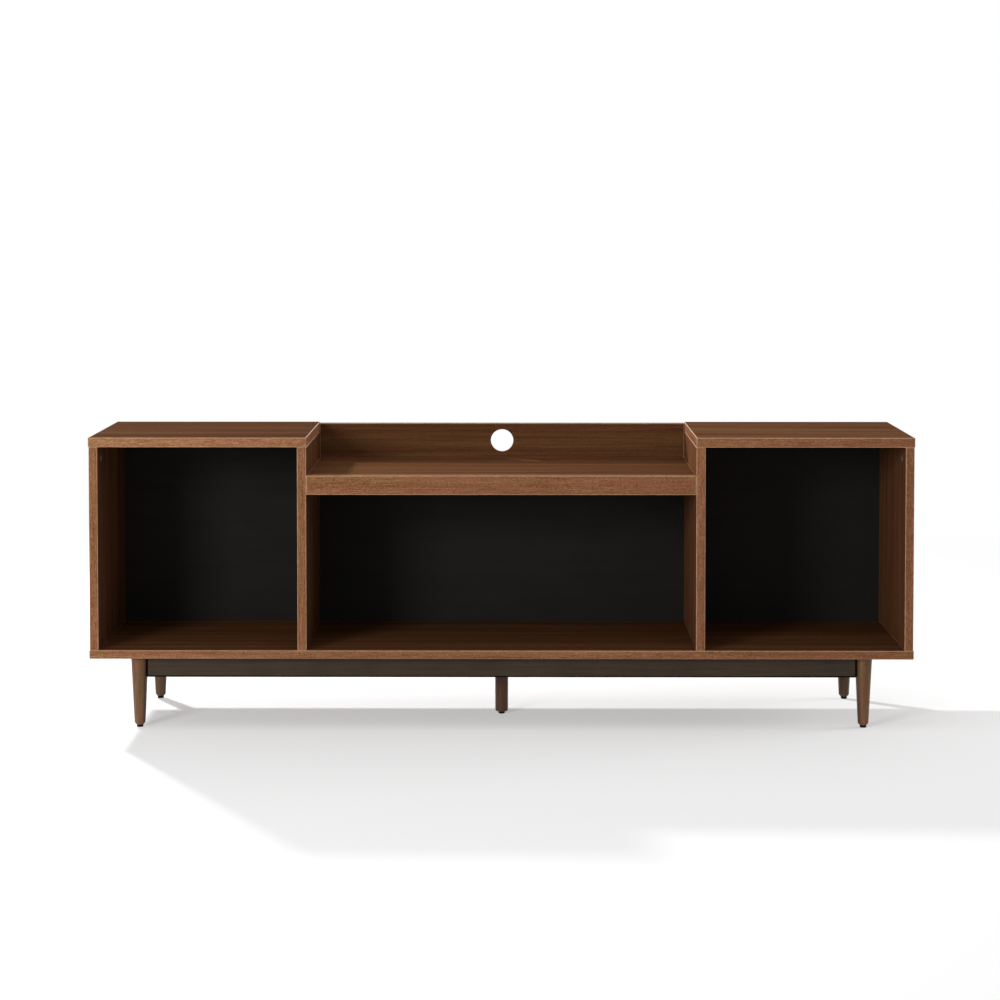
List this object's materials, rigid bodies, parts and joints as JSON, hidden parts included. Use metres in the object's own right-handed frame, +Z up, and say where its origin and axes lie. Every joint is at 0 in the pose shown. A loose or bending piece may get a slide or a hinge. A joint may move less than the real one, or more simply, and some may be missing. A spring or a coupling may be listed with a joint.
{
  "type": "record cabinet",
  "caption": "Low record cabinet on tapered legs: open end bays under flat tops, a wide middle bay and a sunken deck for a record player.",
  "frame": {"origin": "on the floor under the middle of the cabinet, with the feet screwed fully home", "axes": "+X along the cabinet, to the right seen from the front; +Y from the open front to the back; +Z up"},
  "size_m": [1.715, 0.4, 0.612],
  "materials": {
    "walnut_board": "satin walnut veneer with fine straight grain along each board",
    "leg_wood": "turned wood stained walnut, satin lacquer",
    "stained_rail": "dark stained wood, matt",
    "hardboard": "thin hardboard, matt black face",
    "cam_zinc": "bare zinc die casting",
    "plated_steel": "bright zinc plating",
    "bush_brass": "plain machined brass",
    "foot_plastic": "moulded black plastic"
  },
  "bodies": {
    "cabinet": {"bottom_board": "walnut_board", "left_side_panel": "walnut_board", "left_divider": "walnut_board", "left_top": "walnut_board", "left_side_front_cam": "cam_zinc", "left_side_front_cam_bolt": "plated_steel", "left_side_back_cam": "cam_zinc", "left_side_back_cam_bolt": "plated_steel", "left_divider_front_cam": "cam_zinc", "left_divider_front_cam_bolt": "plated_steel", "left_divider_back_cam": "cam_zinc", "left_divider_back_cam_bolt": "plated_steel", "right_side_panel": "walnut_board", "right_divider": "walnut_board", "right_top": "walnut_board", "right_side_front_cam": "cam_zinc", "right_side_front_cam_bolt": "plated_steel", "right_side_back_cam": "cam_zinc", "right_side_back_cam_bolt": "plated_steel", "right_divider_front_cam": "cam_zinc", "right_divider_front_cam_bolt": "plated_steel", "right_divider_back_cam": "cam_zinc", "right_divider_back_cam_bolt": "plated_steel", "deck_front_rail": "walnut_board", "deck_panel": "walnut_board", "well_back_board": "walnut_board", "left_bay_back": "hardboard", "middle_bay_back": "hardboard", "right_bay_back": "hardboard", "front_base_rail": "stained_rail", "back_base_rail": "stained_rail", "left_base_rail": "stained_rail", "right_base_rail": "stained_rail", "front_left_leg": "leg_wood", "front_left_foot_bush": "bush_brass", "front_left_bracket": "plated_steel", "front_left_leg_bolt": "plated_steel", "front_right_leg": "leg_wood", "front_right_foot_bush": "bush_brass", "front_right_bracket": "plated_steel", "front_right_leg_bolt": "plated_steel", "back_right_leg": "leg_wood", "back_right_foot_bush": "bush_brass", "back_right_bracket": "plated_steel", "back_right_leg_bolt": "plated_steel", "back_left_leg": "leg_wood", "back_left_foot_bush": "bush_brass", "back_left_bracket": "plated_steel", "back_left_leg_bolt": "plated_steel", "centre_bearer": "stained_rail", "centre_leg": "leg_wood", "centre_leg_stud": "plated_steel", "centre_foot_bush": "bush_brass"},
    "front_left_foot": {"front_left_foot": "foot_plastic"},
    "front_right_foot": {"front_right_foot": "foot_plastic"},
    "back_right_foot": {"back_right_foot": "foot_plastic"},
    "back_left_foot": {"back_left_foot": "foot_plastic"},
    "centre_foot": {"centre_foot": "foot_plastic"}
  },
  "joints": [
    {"name": "front_left_foot_screw", "type": "slide", "parent": "cabinet", "child": "front_left_foot", "axis": [0, 0, -1], "range_m": [0, 0.01]},
    {"name": "front_right_foot_screw", "type": "slide", "parent": "cabinet", "child": "front_right_foot", "axis": [0, 0, -1], "range_m": [0, 0.01]},
    {"name": "back_right_foot_screw", "type": "slide", "parent": "cabinet", "child": "back_right_foot", "axis": [0, 0, -1], "range_m": [0, 0.01]},
    {"name": "back_left_foot_screw", "type": "slide", "parent": "cabinet", "child": "back_left_foot", "axis": [0, 0, -1], "range_m": [0, 0.01]},
    {"name": "centre_foot_screw", "type": "slide", "parent": "cabinet", "child": "centre_foot", "axis": [0, 0, -1], "range_m": [0, 0.01]}
  ]
}
